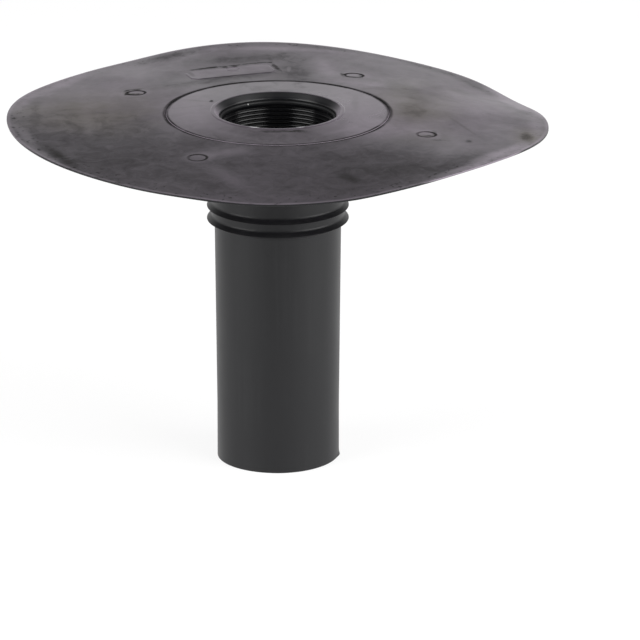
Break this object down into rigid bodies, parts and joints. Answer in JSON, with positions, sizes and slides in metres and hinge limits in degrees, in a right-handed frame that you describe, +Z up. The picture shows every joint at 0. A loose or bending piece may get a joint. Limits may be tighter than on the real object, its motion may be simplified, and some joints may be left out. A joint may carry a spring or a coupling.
{
  "type": "flat roof drain",
  "caption": "Round flexible rubber roof flange with a flared inlet, moulded round a plastic spigot pipe with sealing lips.",
  "frame": {"origin": "on the drain's axis in the plane of the roof deck, which is the flat underside of the hub", "axes": "+Z up along the drain's axis, out of the inlet; the bare raised plate lies towards +Y"},
  "size_m": [0.384, 0.384, 0.2574],
  "materials": {
    "flange_rubber": "matt moulded rubber with smoky stains",
    "pipe_plastic": "smooth dark grey plastic, soft sheen"
  },
  "bodies": {
    "root": {"rubber_flange": "flange_rubber", "spigot_pipe": "pipe_plastic"}
  },
  "joints": []
}
